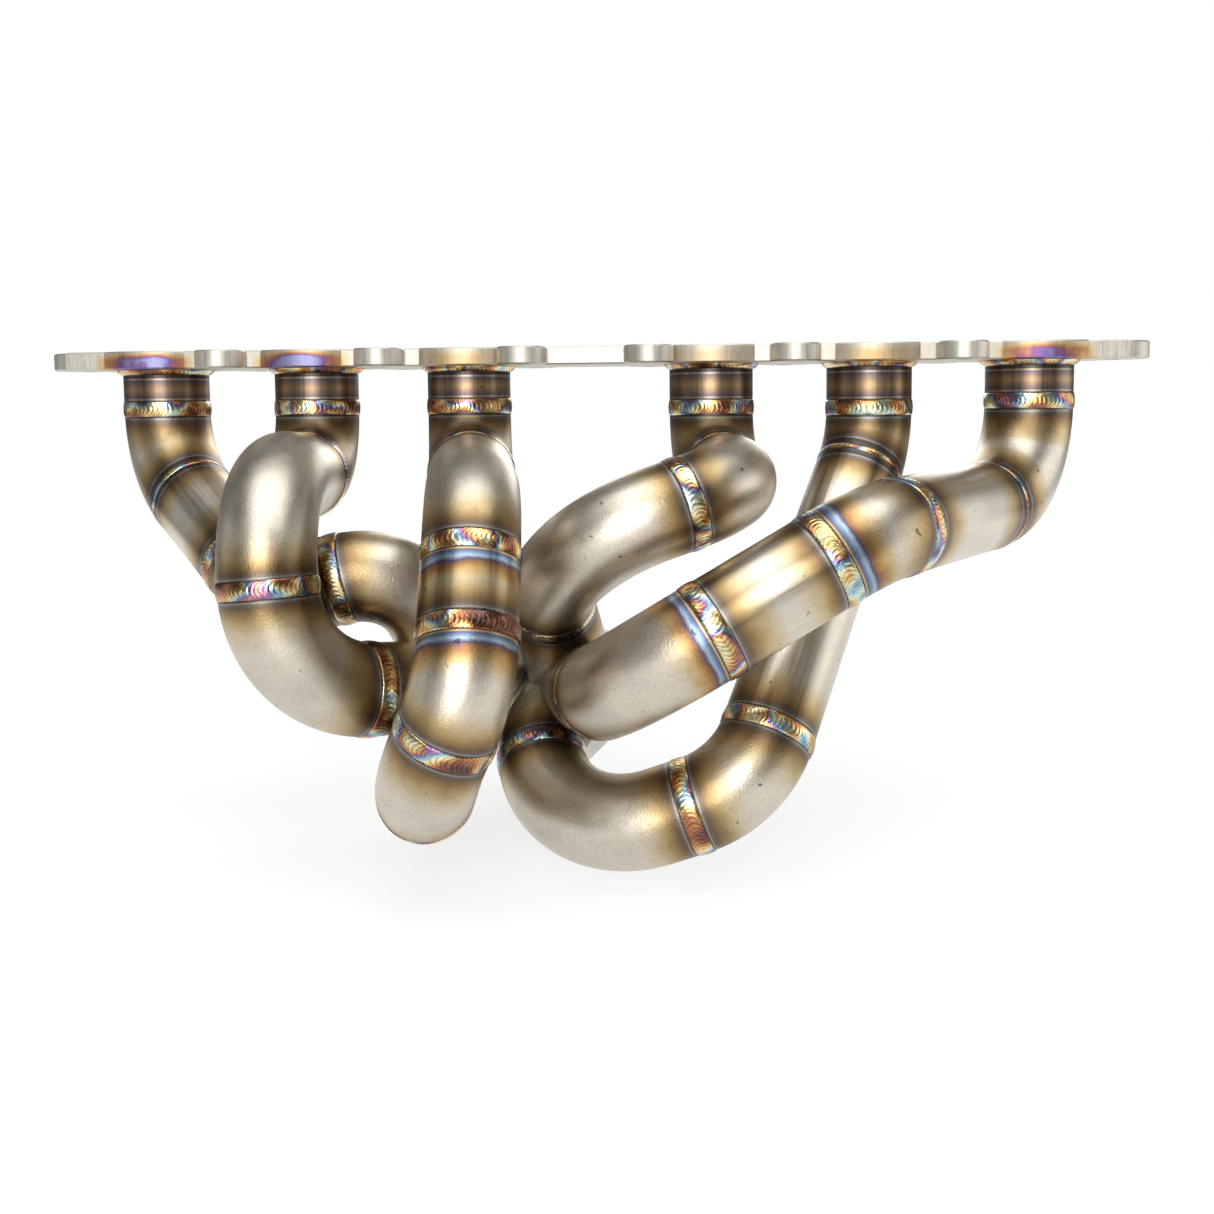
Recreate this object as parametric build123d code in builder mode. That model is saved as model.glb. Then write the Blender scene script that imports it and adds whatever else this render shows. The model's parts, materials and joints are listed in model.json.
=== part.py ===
from build123d import *

# Six-port tubular exhaust manifold: a one-piece head flange, six welded runners, two
# three-into-one merge collectors and a divided turbo flange. Millimetres and degrees.
# The head flange's mating face lies in the plane Z = 0 and looks along +Z, towards the cylinder
# head. X runs along the engine, and the turbo flange's mating face looks along +Y.

import os
from math import acos, atan2, cos, degrees, hypot, radians, sin, sqrt
from typing import NamedTuple

# Tube: 1.5 inch nominal schedule 10 stainless pipe with long and short radius weld elbows
PIPE_RADIUS = 24.15
WALL = 2.77
LONG_RADIUS = 57.15
SHORT_RADIUS = 38.1

# Head flange
CYLINDER_PITCH = 91.0
CENTRE_GAP = 142.0
HEAD_THICKNESS = 10.0
HEAD_BAR_WIDTH = 60.0
PORT_BOSS_RADIUS = 38.0
BOLT_BOSS_RADIUS = 14.0
END_BOSS_RADIUS = 20.0
HEAD_BOLT_RADIUS = 4.5
HEAD_BOLT_ROW = 33.0
END_BOLT_X = 299.0
EDGE_CHAMFER = 0.8

# Turbo flange: centre of its mating face, and the tilt of its long side from +X towards +Z
TURBO_CENTRE = Vector(-44.0, 45.0, -199.0)
TURBO_TILT = -45.0
TURBO_THICKNESS = 12.0
TURBO_LENGTH = 136.0
TURBO_WIDTH = 105.0
TURBO_CORNER = 17.0
TURBO_BOLT_RADIUS = 5.5
TURBO_BOLT_LENGTHWAYS = 108.0
TURBO_BOLT_WIDTHWAYS = 70.0
SCROLL_LENGTH = 34.0
SCROLL_WIDTH = 58.0
SCROLL_CORNER = 9.0
SCROLL_PITCH = 42.0

# Merge collectors: where the three pipe axes of each one meet, and the chamber round that point
MERGE_A = Vector(-68.5, -40.0, -189.0)
MERGE_B = Vector(-7.5, -29.0, -194.0)
CHAMBER_RADIUS = 27.0
OUTLET_RADIUS = 25.5

# Weld metal
BEAD_HEIGHT = 1.1
BEAD_HALF_WIDTH = 4.5
FILLET_LEG = 5.0
TURBO_FILLET_LEG = 4.0
TURBO_FILLET_TAPER = 40.0
SCROLL_CUT_DEPTH = 12.0


class Straight(NamedTuple):
    """A straight length of tube."""

    length: float


class Elbow(NamedTuple):
    """A bend: its plane is first turned by clock about the tube, from the last bend's plane."""

    clock: float
    angle: float
    radius: float = LONG_RADIUS


# Cut list: each runner's pieces in order from the head flange. The first bend's plane is
# clocked from the direction -Y, and a piece with two segments is a bend with a straight tangent.
RUNNERS = {
    "runner_1": {
        "stub": [Straight(23)],
        "elbow_a": [Elbow(-46, 64)],
        "straight": [Straight(72)],
        "elbow_b": [Elbow(-57, 63)],
    },
    "runner_2": {
        "stub": [Straight(23)],
        "elbow_a": [Elbow(-4, 93, SHORT_RADIUS)],
        "elbow_b": [Straight(36), Elbow(-176, 87)],
        "elbow_c": [Elbow(50, 82)],
    },
    "runner_3": {
        "stub": [Straight(23)],
        "elbow_a": [Elbow(-10, 85, SHORT_RADIUS)],
        "elbow_b": [Straight(60), Elbow(176, 55)],
        "straight": [Straight(40)],
        "elbow_c": [Elbow(-25, 48)],
        "elbow_d": [Elbow(34, 58)],
    },
    "runner_4": {
        "stub": [Straight(25)],
        "elbow_a": [Elbow(-8, 89, SHORT_RADIUS)],
        "elbow_b": [Straight(20), Elbow(107, 81, SHORT_RADIUS)],
        "elbow_c": [Straight(15), Elbow(32, 91)],
    },
    "runner_5": {
        "stub": [Straight(26)],
        "elbow_a": [Elbow(34, 39)],
        "straight": [Straight(167)],
        "elbow_b": [Elbow(77, 55)],
        "elbow_c": [Straight(18), Elbow(11, 90)],
    },
    "runner_6": {
        "stub": [Straight(23)],
        "elbow_a": [Elbow(39, 88)],
        "straight_a": [Straight(98)],
        "elbow_b": [Elbow(130, 46)],
        "straight_b": [Straight(64)],
        "elbow_c": [Elbow(-15, 87)],
    },
}

PORT_X = [side * (CENTRE_GAP / 2 + step * CYLINDER_PITCH) for side, step in
          ((-1, 2), (-1, 1), (-1, 0), (1, 0), (1, 1), (1, 2))]


def bend_axis(plane, radius):
    """The axis of a bend that starts on the plane and turns its normal towards its X direction."""
    return Axis(plane.origin + plane.x_dir * radius, plane.y_dir)


def start_of(plane, segment):
    """The plane a segment starts on: an elbow first clocks the plane about its normal."""
    if isinstance(segment, Straight):
        return plane
    c = cos(radians(segment.clock))
    s = sin(radians(segment.clock))
    return Plane(origin=plane.origin, x_dir=plane.x_dir * c + plane.y_dir * s, z_dir=plane.z_dir)


def end_of(plane, segment):
    """The plane at the far end of a segment that starts on the plane."""
    if isinstance(segment, Straight):
        return plane.offset(segment.length)
    c = cos(radians(segment.angle))
    s = sin(radians(segment.angle))
    return Plane(
        origin=plane.origin + (plane.x_dir * (1 - c) + plane.z_dir * s) * segment.radius,
        x_dir=plane.x_dir * c - plane.z_dir * s,
        z_dir=plane.z_dir * c + plane.x_dir * s,
    )


def make_tube(plane, segments, outer_radius, inner_radius=0.0):
    """A tube, or with no inner radius a rod, along the segments; also the plane at its end."""
    with BuildPart() as tube:
        for segment in segments:
            plane = start_of(plane, segment)
            with BuildSketch(plane):
                Circle(outer_radius)
                if inner_radius:
                    Circle(inner_radius, mode=Mode.SUBTRACT)
            if isinstance(segment, Straight):
                extrude(amount=segment.length)
            else:
                revolve(axis=bend_axis(plane, segment.radius), revolution_arc=segment.angle)
            plane = end_of(plane, segment)
    return tube.part, plane


def make_bead(joint, before, after):
    """A weld bead over a butt joint: a ring that follows the tube on both sides of the joint."""
    with BuildPart() as bead:
        for plane, segment, way in ((joint, before, -1), (start_of(joint, after), after, 1)):
            with BuildSketch(plane):
                Circle(PIPE_RADIUS + BEAD_HEIGHT)
                Circle(PIPE_RADIUS, mode=Mode.SUBTRACT)
            if isinstance(segment, Straight):
                extrude(amount=way * BEAD_HALF_WIDTH)
            else:
                axis = bend_axis(plane, segment.radius)
                arc = degrees(BEAD_HALF_WIDTH / segment.radius)
                revolve(axis=Axis(axis.position, axis.direction * way), revolution_arc=arc)
    return bead.part


def leg_to(plane, target):
    """The bend and straight that take a tube from a plane to a target point without a kink."""
    offset = target - plane.origin
    along = offset.dot(plane.z_dir)
    sideways = offset - plane.z_dir * along
    clock = degrees(atan2(sideways.dot(plane.y_dir), sideways.dot(plane.x_dir)))
    to_centre = SHORT_RADIUS - sideways.length
    reach = hypot(to_centre, along)
    angle = degrees(atan2(along, to_centre) - acos(SHORT_RADIUS / reach))
    return [Elbow(clock, angle, SHORT_RADIUS), Straight(sqrt(reach**2 - SHORT_RADIUS**2))]


def turbo_plane(y, lengthways=0.0):
    """A plane across the gas path at the height y, its X direction along the flange's long side."""
    along = Vector(cos(radians(TURBO_TILT)), 0, sin(radians(TURBO_TILT)))
    origin = TURBO_CENTRE + along * lengthways
    return Plane(origin=(origin.X, y, origin.Z), x_dir=along, z_dir=(0, 1, 0))


def make_collector_body(inlets, merge, lengthways, inset):
    """A merge collector as a filled body, its surface set in by a wall or by nothing."""
    weld_face = TURBO_CENTRE.Y - TURBO_THICKNESS
    legs = [make_tube(plane, leg_to(plane, merge), PIPE_RADIUS - inset)[0] for plane in inlets]
    with BuildPart() as body:
        with Locations(merge):
            Sphere(CHAMBER_RADIUS - inset)
        with BuildSketch(Plane(origin=merge, x_dir=(1, 0, 0), z_dir=(0, 1, 0))):
            Circle(OUTLET_RADIUS - inset)
        with BuildSketch(turbo_plane(weld_face, lengthways)):
            RectangleRounded(
                SCROLL_LENGTH + 2 * (WALL - inset),
                SCROLL_WIDTH + 2 * (WALL - inset),
                SCROLL_CORNER + WALL - inset,
            )
        loft()
        add(legs)
    return body.part


def save(part, name):
    """Label a finished sub-part and write it under its own name."""
    part.label = name
    export_step(part, f"parts/{name}.step")


os.makedirs("parts", exist_ok=True)

# Head flange: a bar with a boss round each port and each bolt hole
with BuildPart() as head_flange:
    with BuildSketch(Plane.XY.offset(-HEAD_THICKNESS)):
        Rectangle(2 * END_BOLT_X, HEAD_BAR_WIDTH)
        ports = [(x, 0) for x in PORT_X]
        first_gap = CENTRE_GAP / 2 + CYLINDER_PITCH / 2
        bolt_columns = [CENTRE_GAP / 4, first_gap, first_gap + CYLINDER_PITCH]
        bolts = [(sx * x, sy * HEAD_BOLT_ROW) for x in bolt_columns for sx in (-1, 1) for sy in (-1, 1)]
        end_bolts = [(-END_BOLT_X, 0), (END_BOLT_X, 0)]
        with Locations(*ports):
            Circle(PORT_BOSS_RADIUS)
        with Locations(*bolts):
            Circle(BOLT_BOSS_RADIUS)
        with Locations(*end_bolts):
            Circle(END_BOSS_RADIUS)
        with Locations(*ports):
            Circle(PIPE_RADIUS - WALL, mode=Mode.SUBTRACT)
        with Locations(*bolts, *end_bolts):
            Circle(HEAD_BOLT_RADIUS, mode=Mode.SUBTRACT)
    extrude(amount=HEAD_THICKNESS)
    rims = head_flange.faces().filter_by(Axis.Z)
    chamfer([rim.outer_wire().edges() for rim in rims], EDGE_CHAMFER)
save(head_flange.part, "head_flange")

# Fillet welds between the flange and the six stubs
with BuildPart() as flange_welds:
    with BuildSketch(Plane.XZ):
        with BuildLine():
            Polyline(
                (PIPE_RADIUS, -HEAD_THICKNESS),
                (PIPE_RADIUS + FILLET_LEG, -HEAD_THICKNESS),
                (PIPE_RADIUS, -HEAD_THICKNESS - FILLET_LEG),
                close=True,
            )
        make_face()
    fillet_ring = revolve(axis=Axis.Z, mode=Mode.PRIVATE)
    with Locations(*[(x, 0, 0) for x in PORT_X]):
        add(fillet_ring)
save(flange_welds.part, "flange_welds")

# Runners: the pieces of each cut list end to end, and a bead over every butt joint
inlets = {}
for port_x, (runner, pieces) in zip(PORT_X, RUNNERS.items()):
    plane = Plane(origin=(port_x, 0, -HEAD_THICKNESS), x_dir=(0, -1, 0), z_dir=(0, 0, -1))
    joints = []
    for piece, segments in pieces.items():
        if joints:
            joints[-1].append(segments[0])
        tube, plane = make_tube(plane, segments, PIPE_RADIUS, PIPE_RADIUS - WALL)
        save(tube, f"{runner}_{piece}")
        joints.append([plane, segments[-1]])
    inlets[runner] = plane
    merge = MERGE_A if runner in ("runner_1", "runner_2", "runner_3") else MERGE_B
    joints[-1].append(leg_to(plane, merge)[0])
    with BuildPart() as welds:
        add([make_bead(*joint) for joint in joints])
    save(welds.part, f"{runner}_welds")

# Merge collectors: three legs into a chamber that narrows to one scroll of the turbo flange
collectors = {
    "collector_a": ([inlets[f"runner_{n}"] for n in (1, 2, 3)], MERGE_A, -SCROLL_PITCH / 2),
    "collector_b": ([inlets[f"runner_{n}"] for n in (4, 5, 6)], MERGE_B, SCROLL_PITCH / 2),
}
collector_bodies = []
for name, (planes, merge, lengthways) in collectors.items():
    outside = make_collector_body(planes, merge, lengthways, 0)
    inside = make_collector_body(planes, merge, lengthways, WALL)
    collector_bodies.append(outside)
    with BuildPart() as collector:
        add(outside)
        add(inside, mode=Mode.SUBTRACT)
    save(collector.part, name)

# Turbo flange: a plate with one window for each scroll
scrolls = [(-SCROLL_PITCH / 2, 0), (SCROLL_PITCH / 2, 0)]
with BuildPart() as turbo_flange:
    with BuildSketch(turbo_plane(TURBO_CENTRE.Y - TURBO_THICKNESS)):
        RectangleRounded(TURBO_LENGTH, TURBO_WIDTH, TURBO_CORNER)
        with Locations(*scrolls):
            RectangleRounded(SCROLL_LENGTH, SCROLL_WIDTH, SCROLL_CORNER, mode=Mode.SUBTRACT)
        with GridLocations(TURBO_BOLT_LENGTHWAYS, TURBO_BOLT_WIDTHWAYS, 2, 2):
            Circle(TURBO_BOLT_RADIUS, mode=Mode.SUBTRACT)
    extrude(amount=TURBO_THICKNESS)
    rims = turbo_flange.faces().filter_by(Axis.Y)
    chamfer([rim.outer_wire().edges() for rim in rims], EDGE_CHAMFER)
save(turbo_flange.part, "turbo_flange")

# Fillet weld round both collector outlets, against the turbo flange
with BuildPart() as turbo_weld:
    outlet_length = SCROLL_PITCH + SCROLL_LENGTH + 2 * WALL
    outlet_width = SCROLL_WIDTH + 2 * WALL
    with BuildSketch(turbo_plane(TURBO_CENTRE.Y - TURBO_THICKNESS)):
        RectangleRounded(
            outlet_length + 2 * TURBO_FILLET_LEG,
            outlet_width + 2 * TURBO_FILLET_LEG,
            SCROLL_CORNER + WALL + TURBO_FILLET_LEG,
        )
    extrude(amount=-TURBO_FILLET_LEG, taper=TURBO_FILLET_TAPER)
    with Locations(turbo_plane(TURBO_CENTRE.Y - TURBO_THICKNESS)):
        with Locations((-SCROLL_PITCH / 2, 0, 0), (SCROLL_PITCH / 2, 0, 0)):
            Box(SCROLL_LENGTH, SCROLL_WIDTH, SCROLL_CUT_DEPTH, mode=Mode.SUBTRACT)
    add(collector_bodies, mode=Mode.SUBTRACT)
save(turbo_weld.part, "turbo_flange_weld")
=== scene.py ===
import json
import math
import random

import bpy
import numpy as np
from mathutils import Matrix, Vector, noise


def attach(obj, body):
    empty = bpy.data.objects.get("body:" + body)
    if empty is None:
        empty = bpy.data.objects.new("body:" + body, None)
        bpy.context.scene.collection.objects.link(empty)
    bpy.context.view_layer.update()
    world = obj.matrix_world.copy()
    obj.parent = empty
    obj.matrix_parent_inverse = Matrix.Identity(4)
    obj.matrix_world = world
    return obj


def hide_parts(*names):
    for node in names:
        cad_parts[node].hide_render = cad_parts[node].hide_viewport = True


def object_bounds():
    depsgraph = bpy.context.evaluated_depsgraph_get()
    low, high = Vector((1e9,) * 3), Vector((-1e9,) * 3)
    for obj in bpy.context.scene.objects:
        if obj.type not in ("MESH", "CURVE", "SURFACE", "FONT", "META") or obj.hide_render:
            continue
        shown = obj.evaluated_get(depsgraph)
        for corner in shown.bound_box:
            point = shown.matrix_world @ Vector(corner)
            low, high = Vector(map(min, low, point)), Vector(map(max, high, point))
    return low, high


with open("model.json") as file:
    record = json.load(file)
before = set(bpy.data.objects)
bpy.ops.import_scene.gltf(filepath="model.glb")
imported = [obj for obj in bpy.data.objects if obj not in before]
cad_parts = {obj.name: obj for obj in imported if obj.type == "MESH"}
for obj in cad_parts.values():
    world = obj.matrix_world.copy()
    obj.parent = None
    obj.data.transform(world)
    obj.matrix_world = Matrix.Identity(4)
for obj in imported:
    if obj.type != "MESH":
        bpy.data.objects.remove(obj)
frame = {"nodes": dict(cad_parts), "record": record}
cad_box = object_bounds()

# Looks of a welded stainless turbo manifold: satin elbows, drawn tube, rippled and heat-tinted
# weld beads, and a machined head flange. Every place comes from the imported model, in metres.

MM = 0.001
PIPE_RADIUS = 24.15 * MM
SEED = 20

NODES = frame["nodes"]
SLOTS = {s["node"]: s["material_slot"] for s in frame["record"]["subparts"]}

# Joints that were fused with hardly any filler, so they show a thin line and not a broad bead
FUSED_JOINTS = [
    {"runner_1_elbow_a", "runner_1_straight"},
    {"runner_5_elbow_a", "runner_5_straight"},
    {"runner_6_elbow_a", "runner_6_straight_a"},
]

# Welds: a broad bead's half width, crown over the tube and depth that its edges sink, its ripples,
# the leg of a fillet, and the smaller section of a fused joint
BEAD_HALF_WIDTH = 5.0 * MM
BEAD_CROWN = 0.6 * MM
BEAD_SINK = 0.35 * MM
RIPPLE_LENGTH = 2.4 * MM
RIPPLE_HEIGHT = 0.30 * MM
RIPPLE_LAG = 1.9
FILLET_LEG = 3.2 * MM
FUSED_HALF_WIDTH = 1.9 * MM
FUSED_CROWN = 0.3 * MM
RIPPLE_STEPS = 6
ACROSS_STEPS = 12
PASSES_ROUND = 4
BEAD_DRIFT = 0.35 * MM
WANDER_RANGE = 50
UNEVEN_SHARE = 0.4
FILLET_BULGE = 0.16

# In millimetres: how far heat tint reaches past a joint, and the half width of a bead's dark edge
HEAT_REACH = 30.0
EDGE_REACH = 6.5

# A flat end of a pipe is meshed with at least this many faces, and its radius is this close
END_FACES = 16
RADIUS_SLACK = 0.3 * MM
SAME_PLACE = 2 * MM


# ---------------------------------------------------------------- joints, read from the CAD pieces


def circle_centre(points, normal):
    """Centre and radius of the outer circle of a flat ring of points."""
    side, other = frame_about(normal)
    middle = points.mean(0)
    for _ in range(3):
        flat = np.c_[(points - middle) @ np.array(side), (points - middle) @ np.array(other)]
        reach = np.linalg.norm(flat, axis=1)
        outer = flat[reach > (reach.max() + reach.min()) / 2]
        system = np.c_[2 * outer, np.ones(len(outer))]
        shift = np.linalg.lstsq(system, (outer**2).sum(1), rcond=None)[0]
        middle = middle + shift[0] * np.array(side) + shift[1] * np.array(other)
    radius = math.sqrt(shift[2] + shift[0] ** 2 + shift[1] ** 2)
    return Vector(middle), radius


def pipe_ends(node):
    """Centre and outward axis of every flat end of pipe size on a piece."""
    mesh = NODES[node].data
    planes = {}
    for face in mesh.polygons:
        offset = face.normal.dot(face.center) / MM
        key = (*(round(c, 2) for c in face.normal), round(offset))
        planes.setdefault(key, []).append(face)
    ends = []
    for faces in planes.values():
        if len(faces) < END_FACES:
            continue
        normal = sum((f.normal for f in faces), Vector()).normalized()
        corners = {i for f in faces for i in f.vertices}
        points = np.unique(np.round([mesh.vertices[i].co for i in corners], 6), axis=0)
        centre, radius = circle_centre(points, normal)
        if abs(radius - PIPE_RADIUS) < RADIUS_SLACK:
            ends.append((centre, normal))
    return ends


def find_joints():
    """Every welded pipe joint, as weld node, centre, axis and pieces, and the ports' centres."""
    joints, ports = [], []
    for node in sorted(NODES):
        if SLOTS[node] == "weld_metal" or "flange" in node:
            continue
        for centre, axis in pipe_ends(node):
            known = [j for j in joints if (j["centre"] - centre).length < SAME_PLACE]
            if known:
                known[0]["pieces"].add(node)
                known[0]["weld"] = "_".join(node.split("_")[:2]) + "_welds"
            elif "stub" in node and axis.z > 0.99:
                ports.append(centre)
            else:
                joints.append({"centre": centre, "axis": axis, "pieces": {node}})
    joints = [j for j in joints if len(j["pieces"]) == 2]
    return joints, sorted(ports, key=lambda port: port.x)


def frame_about(axis):
    """Two directions square to an axis and to each other."""
    side = axis.orthogonal().normalized()
    return side, axis.cross(side).normalized()


# ---------------------------------------------------------------- weld metal, built as meshes


def ripple(turns, across, uneven):
    """Height, 0 to 1, of a bead's crescent ripples: turns counts ripples, across runs -1 to 1."""
    phase = (turns + RIPPLE_LAG * across * across + UNEVEN_SHARE * uneven) % 1.0
    return (1.0 - phase) ** 0.7


def band(rings):
    """Vertices, faces and ripple tones of a closed band from its section rings."""
    count, width = len(rings), len(rings[0])
    vertices = [point for ring in rings for point, _ in ring]
    tones = [tone for ring in rings for _, tone in ring]
    faces = []
    for i in range(count):
        j = (i + 1) % count
        for k in range(width):
            m = (k + 1) % width
            faces.append((i * width + k, j * width + k, j * width + m, i * width + m))
    return vertices, faces, tones


def bead_rings(centre, axis, half_width, crown, rng):
    """Section rings of one rippled bead round a pipe."""
    side, other = frame_about(axis)
    ripples = round(2 * math.pi * PIPE_RADIUS / RIPPLE_LENGTH)
    steps = ripples * RIPPLE_STEPS
    start = rng.random()
    wander = rng.random() * WANDER_RANGE
    rings = []
    for i in range(steps):
        turn = i / steps
        angle = 2 * math.pi * (turn + start)
        out = side * math.cos(angle) + other * math.sin(angle)
        along_pass = turn * PASSES_ROUND % 1.0
        drift = noise.noise(Vector((turn * 9, wander, 0.0)))
        uneven = noise.noise(Vector((turn * 23, wander, 7.0)))
        width = half_width * (1 + 0.05 * uneven - 0.06 * math.exp(-along_pass * 30))
        peak = crown * (1 + 0.12 * uneven)
        section = []
        for k in range(ACROSS_STEPS + 1):
            across = 2 * k / ACROSS_STEPS - 1
            dome = math.sqrt(max(0.0, 1 - across * across))
            tone = ripple(turn * ripples, across, uneven)
            lift = peak * dome + RIPPLE_HEIGHT * (crown / BEAD_CROWN) * dome * (tone - 0.5)
            radius = PIPE_RADIUS - BEAD_SINK + (lift + BEAD_SINK) * dome**0.35
            offset = across * width + drift * BEAD_DRIFT
            # The stored ripple height falls to nothing at the bead's edges, so the weld material
            # paints them darker
            section.append((centre + out * radius + axis * offset, tone * dome**0.5))
        inner = PIPE_RADIUS - 3 * BEAD_SINK
        for across in (0.5, -0.5):
            section.append((centre + out * inner + axis * (across * width), 0.0))
        rings.append(section)
    return rings


def weld_piece(name, bands, material, node):
    """One object from several bands of weld metal, standing for a CAD node and riding with it."""
    vertices, faces, tones = [], [], []
    for points, quads, tone in bands:
        base = len(vertices)
        vertices += points
        faces += [tuple(base + i for i in quad) for quad in quads]
        tones += tone
    mesh = bpy.data.meshes.new(name)
    mesh.from_pydata(vertices, [], faces)
    mesh.polygons.foreach_set("use_smooth", [True] * len(mesh.polygons))
    # The ripple heights go along as an attribute, from which the weld material paints shade into
    # the ripple valleys and darkens the bead edges
    mesh.attributes.new("ripple", "FLOAT", "POINT").data.foreach_set("value", tones)
    mesh.materials.append(material)
    mesh.update()
    piece = bpy.data.objects.new(name, mesh)
    bpy.context.scene.collection.objects.link(piece)
    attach(piece, "root")
    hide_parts(node)
    return piece


def fillet_rings(centre, leg, rng):
    """Section rings of a rippled fillet weld in the corner between the head flange and a stub."""
    ripples = round(2 * math.pi * PIPE_RADIUS / RIPPLE_LENGTH)
    steps = ripples * RIPPLE_STEPS
    wander = rng.random() * WANDER_RANGE
    down = Vector((0, 0, -1))
    rings = []
    for i in range(steps):
        turn = i / steps
        angle = 2 * math.pi * turn
        out = Vector((math.cos(angle), math.sin(angle), 0))
        uneven = noise.noise(Vector((turn * 17, wander, 3.0)))
        size = leg * (1 + 0.08 * uneven)
        section = []
        for k in range(ACROSS_STEPS + 1):
            share = k / ACROSS_STEPS
            across = 2 * share - 1
            tone = ripple(turn * ripples, across, uneven)
            bulge = (FILLET_BULGE * size + RIPPLE_HEIGHT * (tone - 0.5)) * (1 - across * across)
            reach = size * (1 - share) + bulge * 0.7
            drop = size * share + bulge * 0.7
            section.append((centre + out * (PIPE_RADIUS + reach) + down * drop, tone))
        section.append((centre + out * (PIPE_RADIUS - BEAD_SINK) + down * size, 0.0))
        section.append((centre + out * (PIPE_RADIUS - BEAD_SINK), 0.0))
        rings.append(section)
    return rings


# ---------------------------------------------------------------- shader helpers


def add(tree, kind, settings=None, *values, **named):
    """A shader node. An input given as a socket is linked, any other value is set on it."""
    made = tree.nodes.new("ShaderNode" + kind)
    for key, value in (settings or {}).items():
        setattr(made, key, value)
    for place, value in [*enumerate(values), *named.items()]:
        if isinstance(value, bpy.types.NodeSocket):
            tree.links.new(value, made.inputs[place])
        elif value is not None:
            made.inputs[place].default_value = value
    return made


def calc(tree, operation, *values, clamp=False):
    """The result of a Math node."""
    settings = {"operation": operation, "use_clamp": clamp}
    return add(tree, "Math", settings, *values).outputs[0]


def vector_calc(tree, operation, *values, output="Vector"):
    """The result of a Vector Math node."""
    return add(tree, "VectorMath", {"operation": operation}, *values).outputs[output]


def spots(tree, place, size, detail=3.0, roughness=0.55):
    """Noise, 0 to 1, whose features are about size metres across."""
    made = add(
        tree, "TexNoise", None, Vector=place, Scale=1 / size, Detail=detail, Roughness=roughness
    )
    return made.outputs["Fac"]


def ramp(tree, fac, stops):
    """A colour ramp from (position, colour) stops."""
    made = add(tree, "ValToRGB", None, fac)
    elements = made.color_ramp.elements
    for place, colour in stops[1:-1]:
        elements.new(place).color = (*colour, 1)
    for element, (place, colour) in zip((elements[0], elements[-1]), (stops[0], stops[-1])):
        element.position, element.color = place, (*colour, 1)
    return made.outputs["Color"]


def remap(tree, value, low, high, to_low=0.0, to_high=1.0):
    """A value moved from one range to another, kept inside it."""
    made = add(tree, "MapRange", {"clamp": True}, value, low, high, to_low, to_high)
    return made.outputs[0]


def blend(tree, mode, fac, a, b):
    """Two colours mixed."""
    made = add(tree, "MixRGB", {"blend_type": mode}, fac, a, b)
    return made.outputs[0]


def metal(name):
    """A new material with a metallic shader, and the position on the object for its patterns."""
    material = bpy.data.materials.new(name)
    material.use_nodes = True
    tree = material.node_tree
    shader = tree.nodes["Principled BSDF"]
    shader.inputs["Metallic"].default_value = 1.0
    place = add(tree, "NewGeometry").outputs["Position"]
    return material, tree, shader, place


def connect(tree, shader, colour, roughness, height, bump_strength, bump_distance):
    """Joins colour, roughness and a bump height to the shader."""
    tree.links.new(colour, shader.inputs["Base Color"])
    tree.links.new(roughness, shader.inputs["Roughness"])
    bump = add(
        tree, "Bump", None, Strength=bump_strength, Distance=bump_distance, Height=height
    )
    tree.links.new(bump.outputs["Normal"], shader.inputs["Normal"])


# ---------------------------------------------------------------- heat tint


def distance_from(tree, place, centre, axis):
    """Distance in mm along a pipe from a joint, growing fast away from that pipe."""
    away = vector_calc(tree, "SUBTRACT", place, centre)
    along = vector_calc(tree, "DOT_PRODUCT", away, axis, output="Value")
    reach = vector_calc(tree, "LENGTH", away, output="Value")
    beyond = calc(tree, "MAXIMUM", calc(tree, "SUBTRACT", reach, 1.5 * PIPE_RADIUS), 0.0)
    total = calc(tree, "ADD", calc(tree, "ABSOLUTE", along), calc(tree, "MULTIPLY", beyond, 3.0))
    return calc(tree, "DIVIDE", total, MM)


SATIN_TINT = [
    (0.000, (0.12, 0.10, 0.09)),
    (0.160, (0.06, 0.05, 0.05)),
    (0.185, (0.29, 0.27, 0.23)),
    (0.215, (0.15, 0.125, 0.11)),
    (0.270, (0.15, 0.105, 0.065)),
    (0.380, (0.28, 0.185, 0.085)),
    (0.540, (0.44, 0.335, 0.18)),
    (0.760, (0.55, 0.475, 0.345)),
    (1.000, (0.595, 0.545, 0.465)),
]
BLUE_TINT = [
    (0.000, (0.12, 0.10, 0.09)),
    (0.160, (0.06, 0.05, 0.05)),
    (0.185, (0.50, 0.40, 0.22)),
    (0.215, (0.14, 0.11, 0.14)),
    (0.265, (0.15, 0.24, 0.42)),
    (0.320, (0.34, 0.42, 0.48)),
    (0.385, (0.10, 0.08, 0.14)),
    (0.460, (0.28, 0.145, 0.06)),
    (0.640, (0.50, 0.34, 0.15)),
    (0.800, (0.57, 0.48, 0.34)),
    (1.000, (0.595, 0.545, 0.465)),
]
SCORCHED_TINT = [
    (0.000, (0.10, 0.08, 0.07)),
    (0.160, (0.06, 0.05, 0.05)),
    (0.185, (0.36, 0.30, 0.24)),
    (0.220, (0.11, 0.09, 0.11)),
    (0.330, (0.24, 0.16, 0.10)),
    (0.500, (0.40, 0.28, 0.15)),
    (1.000, (0.48, 0.37, 0.23)),
]

# Piece and the neighbour on whose side it is blued
BLUED = [
    ("runner_3_straight", "runner_3_elbow_b"),
    ("runner_3_elbow_c", "runner_3_straight"),
    ("runner_6_elbow_b", "runner_6_straight_b"),
    ("runner_6_elbow_c", "runner_6_straight_b"),
]


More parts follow.
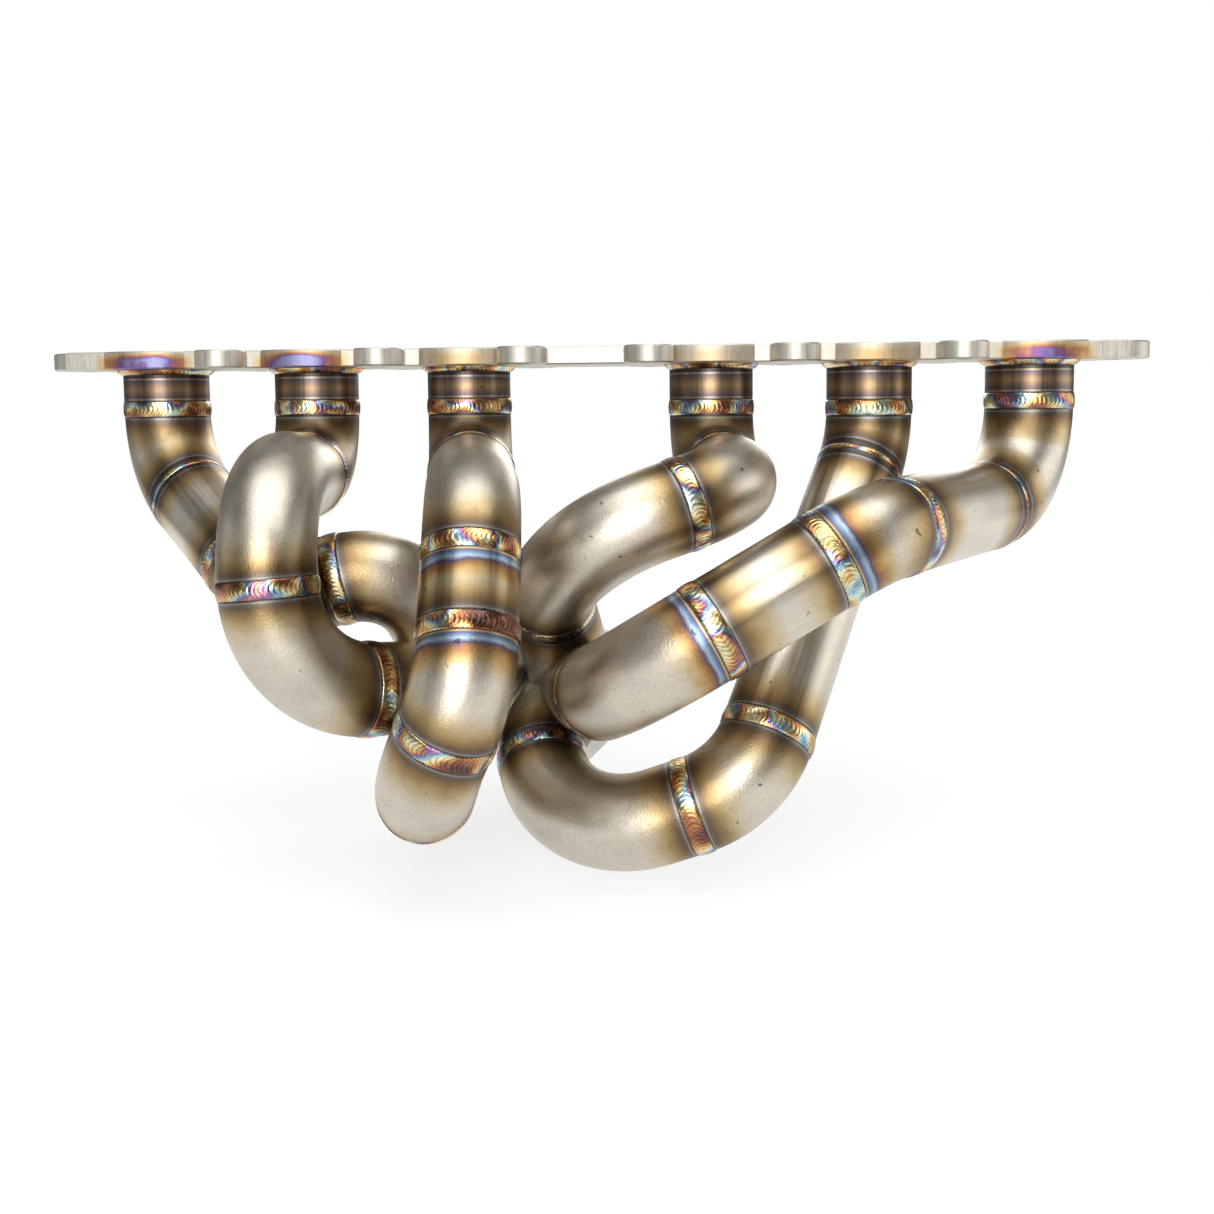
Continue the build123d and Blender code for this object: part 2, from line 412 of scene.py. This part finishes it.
def tinted_colour(tree, place, node, joints, rng):
    """Steel's colour near its welds: dark beside the bead, then brown, gold and grey."""
    noise_at = calc(tree, "SUBTRACT", spots(tree, place, 16 * MM), 0.5)
    colour = None
    for joint in joints:
        span = HEAT_REACH * rng.uniform(0.85, 1.15)
        clear = distance_from(tree, place, joint["centre"], joint["axis"])
        wobble = calc(tree, "MULTIPLY", noise_at, remap(tree, clear, 6.0, 16.0, 0.0, 12.0))
        # the first part of the ramp is the bead's own edge, so it keeps its width on every piece
        past_edge = calc(tree, "SUBTRACT", calc(tree, "ADD", clear, wobble), EDGE_REACH)
        inner = calc(tree, "MULTIPLY", calc(tree, "MINIMUM", clear, EDGE_REACH), 1 / HEAT_REACH)
        outer = calc(tree, "DIVIDE", calc(tree, "MAXIMUM", past_edge, 0.0), span)
        heat = calc(tree, "ADD", inner, outer, clamp=True)
        blued = any((node, other) in BLUED for other in joint["pieces"])
        stops = SCORCHED_TINT if "stub" in node else BLUE_TINT if blued else SATIN_TINT
        layer = ramp(tree, heat, stops)
        colour = layer if colour is None else blend(tree, "DARKEN", 1.0, colour, layer)
    return colour


def steel_material(node, joints, rng):
    """Satin elbow, or smoother drawn tube, with heat tint round every joint of the piece."""
    elbow = "elbow" in node or "collector" in node
    material, tree, shader, place = metal(node + "_steel")
    colour = tinted_colour(tree, place, node, joints, rng)
    mottle = remap(tree, spots(tree, place, 30 * MM, 4.0), 0.3, 0.7, 0.86, 1.08)
    grain = spots(tree, place, 1.0 * MM, 3.0)
    if elbow:
        speckle = remap(tree, grain, 0.3, 0.7, 0.84, 1.08)
        texture = grain
        roughness = remap(tree, spots(tree, place, 12 * MM), 0.3, 0.7, 0.34, 0.42)
        strength, height = 0.45, 0.25 * MM
    else:
        axis = joints[0]["axis"]
        along = vector_calc(tree, "DOT_PRODUCT", place, axis, output="Value")
        shift = calc(tree, "MULTIPLY", along, -0.96)
        drawn = vector_calc(
            tree, "ADD", place, vector_calc(tree, "SCALE", axis, None, None, shift)
        )
        streaks = spots(tree, drawn, 1.6 * MM, 3.0)
        speckle = remap(tree, streaks, 0.3, 0.7, 0.92, 1.05)
        texture = calc(tree, "ADD", calc(tree, "MULTIPLY", grain, 0.3), streaks)
        roughness = remap(tree, streaks, 0.3, 0.7, 0.28, 0.40)
        strength, height = 0.10, 0.08 * MM
    pits = remap(tree, spots(tree, place, 5 * MM, 1.0), 0.745, 0.79, 1.0, 0.35)
    shade = calc(tree, "MULTIPLY", calc(tree, "MULTIPLY", mottle, speckle), pits)
    colour = blend(tree, "MULTIPLY", 1.0, colour, shade)
    connect(tree, shader, colour, roughness, texture, strength, height)
    return material


WELD_COLOURS = [
    (0.00, (0.16, 0.09, 0.08)),
    (0.20, (0.42, 0.17, 0.09)),
    (0.32, (0.72, 0.42, 0.16)),
    (0.43, (0.86, 0.74, 0.42)),
    (0.52, (0.62, 0.74, 0.64)),
    (0.60, (0.22, 0.42, 0.58)),
    (0.67, (0.30, 0.14, 0.32)),
    (0.76, (0.62, 0.28, 0.12)),
    (0.88, (0.82, 0.62, 0.28)),
    (1.00, (0.84, 0.76, 0.50)),
]


def weld_material():
    """Bare weld metal in tarnish colours from straw and copper to blue, changing along the bead,
    with painted shade in the ripple valleys and darker toward a bead's edges.
    """
    material, tree, shader, place = metal("weld_metal")
    crest = add(tree, "Attribute", {"attribute_name": "ripple"}).outputs["Fac"]
    patches = remap(tree, spots(tree, place, 21 * MM, 1.0, 0.4), 0.30, 0.70)
    fine = calc(tree, "MULTIPLY", calc(tree, "SUBTRACT", spots(tree, place, 4 * MM), 0.5), 0.12)
    lift = calc(tree, "MULTIPLY", calc(tree, "SUBTRACT", crest, 0.5), 0.09)
    mixed = calc(tree, "ADD", calc(tree, "ADD", patches, fine), lift, clamp=True)
    colour = ramp(tree, mixed, WELD_COLOURS)
    dirt = remap(tree, spots(tree, place, 9 * MM, 3.0), 0.32, 0.55, 0.5, 1.0)
    # Painted shade: the colour is darkened where the stored ripple height is low, in the ripple
    # valleys and toward a bead's edges
    painted_ripple_shade = remap(tree, crest, 0.05, 0.75, 0.38, 1.1)
    colour = blend(tree, "MULTIPLY", 1.0, colour, calc(tree, "MULTIPLY", dirt, painted_ripple_shade))
    roughness = remap(tree, spots(tree, place, 4 * MM), 0.3, 0.7, 0.18, 0.34)
    texture = spots(tree, place, 0.9 * MM, 3.0)
    connect(tree, shader, colour, roughness, texture, 0.3, 0.10 * MM)
    return material


PORT_TINT = [
    (0.00, (0.62, 0.59, 0.52)),
    (0.25, (0.60, 0.46, 0.26)),
    (0.45, (0.50, 0.26, 0.11)),
    (0.60, (0.36, 0.14, 0.18)),
    (0.76, (0.20, 0.12, 0.32)),
    (1.00, (0.30, 0.30, 0.50)),
]
PORT_STRENGTHS = (1.0, 0.95, 0.25, 0.2, 0.25, 0.8)


def head_flange_material(ports):
    """Bright cut plate with upright saw lines on its edge and tarnish beside the hot ports."""
    material, tree, shader, place = metal("head_flange_steel")
    lines_at = vector_calc(tree, "MULTIPLY", place, Vector((1.0, 1.0, 0.05)))
    lines = spots(tree, lines_at, 1.1 * MM, 4.0, 0.7)
    blotch = spots(tree, place, 14 * MM, 3.0)
    heat = None
    for port, strength in zip(ports, PORT_STRENGTHS):
        away = vector_calc(tree, "SUBTRACT", place, port)
        flat = vector_calc(tree, "MULTIPLY", away, Vector((1.0, 0.35, 0.0)))
        reach = vector_calc(tree, "LENGTH", flat, output="Value")
        near = remap(tree, reach, 14 * MM, 31 * MM, 1.25 * strength, 0.0)
        heat = near if heat is None else calc(tree, "MAXIMUM", heat, near)
    height = add(tree, "SeparateXYZ", None, place).outputs["Z"]
    below = remap(tree, height, -0.3 * MM, -5 * MM, 0.0, 1.0)
    heat = calc(tree, "MULTIPLY", calc(tree, "MULTIPLY", heat, below), remap(
        tree, blotch, 0.3, 0.65, 0.55, 1.1
    ), clamp=True)
    colour = ramp(tree, heat, PORT_TINT)
    shade = calc(
        tree,
        "MULTIPLY",
        remap(tree, lines, 0.3, 0.7, 0.78, 1.06),
        remap(tree, spots(tree, place, 40 * MM, 4.0), 0.3, 0.7, 0.88, 1.05),
    )
    colour = blend(tree, "MULTIPLY", 1.0, colour, shade)
    roughness = remap(tree, lines, 0.3, 0.7, 0.40, 0.58)
    connect(tree, shader, colour, roughness, lines, 0.35, 0.15 * MM)
    return material


def turbo_flange_material():
    """Bright machined plate with a few scratches."""
    material, tree, shader, place = metal("turbo_flange_steel")
    cut_at = vector_calc(tree, "MULTIPLY", place, Vector((1.0, 0.3, 0.12)))
    cuts = spots(tree, cut_at, 1.2 * MM, 4.0, 0.65)
    scratch_at = vector_calc(tree, "MULTIPLY", place, Vector((1.0, 1.0, 0.35)))
    waves = add(
        tree,
        "TexWave",
        {"wave_type": "BANDS", "bands_direction": "DIAGONAL"},
        Vector=scratch_at,
        Scale=45.0,
        Distortion=9.0,
        Detail=3.0,
    ).outputs["Fac"]
    scratches = remap(tree, waves, 0.0, 0.03, 0.86, 1.0)
    shade = calc(tree, "MULTIPLY", remap(tree, cuts, 0.3, 0.7, 0.85, 1.05), scratches)
    colour = blend(tree, "MULTIPLY", 1.0, (0.70, 0.69, 0.66, 1), shade)
    roughness = remap(tree, cuts, 0.3, 0.7, 0.24, 0.40)
    connect(tree, shader, colour, roughness, cuts, 0.3, 0.12 * MM)
    return material


# ---------------------------------------------------------------- dressing the object


def dress(node, material):
    """Gives a CAD node its material."""
    mesh = NODES[node].data
    mesh.materials.clear()
    mesh.materials.append(material)


def build_welds(joints, ports, material, rng):
    """Rippled beads at every pipe joint and rippled fillets at every port."""
    welds = {}
    for joint in joints:
        fused = joint["pieces"] in FUSED_JOINTS
        half_width = FUSED_HALF_WIDTH if fused else BEAD_HALF_WIDTH
        crown = FUSED_CROWN if fused else BEAD_CROWN
        rings = bead_rings(joint["centre"], joint["axis"], half_width, crown, rng)
        welds.setdefault(joint["weld"], []).append(band(rings))
    for node, bands in welds.items():
        weld_piece(node + "_rippled", bands, material, node)
    fillets = [band(fillet_rings(port, FILLET_LEG, rng)) for port in ports]
    weld_piece("flange_welds_rippled", fillets, material, "flange_welds")


def dress_object():
    """Materials for every CAD node that stays, and new pieces for the welds."""
    rng = random.Random(SEED)
    joints, ports = find_joints()
    up = Vector((0, 0, 1))
    for node in sorted(NODES):
        if SLOTS[node] == "weld_metal" or "flange" in node:
            continue
        near = [j for j in joints if node in j["pieces"]]
        if "stub" in node:
            port = min(ports, key=lambda p: abs(p.x - near[0]["centre"].x))
            near.append({"centre": port, "axis": up, "pieces": {node, "head_flange"}})
        dress(node, steel_material(node, near, rng))
    dress("head_flange", head_flange_material(ports))
    dress("turbo_flange", turbo_flange_material())
    metal_of_welds = weld_material()
    dress("turbo_flange_weld", metal_of_welds)
    build_welds(joints, ports, metal_of_welds, rng)


# ---------------------------------------------------------------- floor, light and camera


FLOOR_RINGS, FLOOR_SPOKES, FLOOR_RADIUS = 12, 64, 1.7
FLOOR_DROP = 0.2 * MM


def build_floor(height):
    """A plain pale table top just under the lowest loop, lit so that it stays nearly white."""
    rings, spokes = FLOOR_RINGS, FLOOR_SPOKES
    vertices = [(0, 0, height)]
    for r in range(1, rings + 1):
        for s in range(spokes):
            angle = 2 * math.pi * s / spokes
            far = FLOOR_RADIUS * r / rings
            vertices.append((far * math.cos(angle), far * math.sin(angle), height))
    faces = [(0, 1 + s, 1 + (s + 1) % spokes) for s in range(spokes)]
    for r in range(rings - 1):
        for s in range(spokes):
            a, b = 1 + r * spokes + s, 1 + r * spokes + (s + 1) % spokes
            faces.append((a, a + spokes, b + spokes, b))
    mesh = bpy.data.meshes.new("floor")
    mesh.from_pydata(vertices, [], faces)
    floor = bpy.data.objects.new("floor", mesh)
    bpy.context.scene.collection.objects.link(floor)
    material = bpy.data.materials.new("floor")
    material.use_nodes = True
    tree = material.node_tree
    shader = tree.nodes["Principled BSDF"]
    place = add(tree, "NewGeometry").outputs["Position"]
    tone = remap(tree, spots(tree, place, 0.3), 0.3, 0.7, 0.26, 0.30)
    colour = add(tree, "CombineColor", None, tone, tone, tone).outputs[0]
    tree.links.new(colour, shader.inputs["Base Color"])
    shader.inputs["Roughness"].default_value = 0.9
    shader.inputs["Specular IOR Level"].default_value = 0.0
    shader.inputs["Emission Color"].default_value = (1, 1, 1, 1)
    reach = vector_calc(tree, "LENGTH", place, output="Value")
    glow = remap(tree, reach, 0.45, 1.1, 0.76, 1.0)
    tree.links.new(glow, shader.inputs["Emission Strength"])
    mesh.materials.append(material)


def area_light(name, place, target, size, power):
    """A soft rectangular light aimed at a point."""
    data = bpy.data.lights.new(name, "AREA")
    data.shape = "RECTANGLE"
    data.size, data.size_y = size
    data.energy = power
    lamp = bpy.data.objects.new(name, data)
    lamp.location = place
    lamp.rotation_euler = (Vector(target) - Vector(place)).to_track_quat("-Z", "Y").to_euler()
    bpy.context.scene.collection.objects.link(lamp)


# Name, place from the middle of the object, size and power
LIGHTS = [
    ("front", (-0.10, -1.9, 0.65), (1.05, 1.5), 31),
    ("overhead", (0.1, -0.4, 1.5), (1.9, 1.3), 22),
    ("right", (2.0, 0.1, 0.35), (1.4, 1.3), 10),
    ("left", (-1.9, -0.2, 0.3), (0.9, 1.0), 1.5),
    ("behind", (0.2, 1.9, 0.8), (1.4, 1.2), 16),
]
ROOM_TONE = (1.0, 0.98, 0.95, 1)
ROOM_STRENGTH = 0.15


def build_lights(centre):
    """Five soft lights in a dim room that looks white where the camera sees it."""
    for name, place, size, power in LIGHTS:
        area_light(name, centre + Vector(place), centre, size, power)
    world = bpy.data.worlds.new("room")
    bpy.context.scene.world = world
    world.use_nodes = True
    tree = world.node_tree
    direct = add(tree, "LightPath").outputs["Is Camera Ray"]
    seen = add(tree, "Background", None, (1, 1, 1, 1), 1.0)
    room = add(tree, "Background", None, ROOM_TONE, ROOM_STRENGTH)
    both = add(tree, "MixShader", None, direct, room.outputs[0], seen.outputs[0])
    tree.links.new(both.outputs[0], tree.nodes["World Output"].inputs["Surface"])


CAMERA_PLACE = Vector((48.9, -705.2, -30.6)) * MM
CAMERA_YAW = math.radians(-3.19)
CAMERA_TILT = math.radians(4.74)
CAMERA_ROLL = math.radians(-0.59)
CAMERA_LENS = 35.6
CAMERA_SENSOR = 36.0
CAMERA_SHIFT = -0.088


def build_camera():
    """A camera a little above the pipes, square to the head flange's edge."""
    ahead = Vector(
        (
            math.sin(CAMERA_YAW) * math.cos(CAMERA_TILT),
            math.cos(CAMERA_YAW) * math.cos(CAMERA_TILT),
            -math.sin(CAMERA_TILT),
        )
    )
    level = Vector((math.cos(CAMERA_YAW), -math.sin(CAMERA_YAW), 0))
    upright = level.cross(ahead)
    right = level * math.cos(CAMERA_ROLL) + upright * math.sin(CAMERA_ROLL)
    up = right.cross(ahead)
    data = bpy.data.cameras.new("camera")
    data.lens, data.sensor_width = CAMERA_LENS, CAMERA_SENSOR
    data.shift_y = CAMERA_SHIFT
    data.clip_start, data.clip_end = 0.02, 50
    camera = bpy.data.objects.new("camera", data)
    turn = Matrix((right, up, -ahead)).transposed()
    camera.matrix_world = Matrix.Translation(CAMERA_PLACE) @ turn.to_4x4()
    bpy.context.scene.collection.objects.link(camera)
    bpy.context.scene.camera = camera


bpy.context.scene.view_settings.view_transform = "Standard"
dress_object()
build_floor(cad_box[0].z - FLOOR_DROP)
build_lights((cad_box[0] + cad_box[1]) / 2)
build_camera()
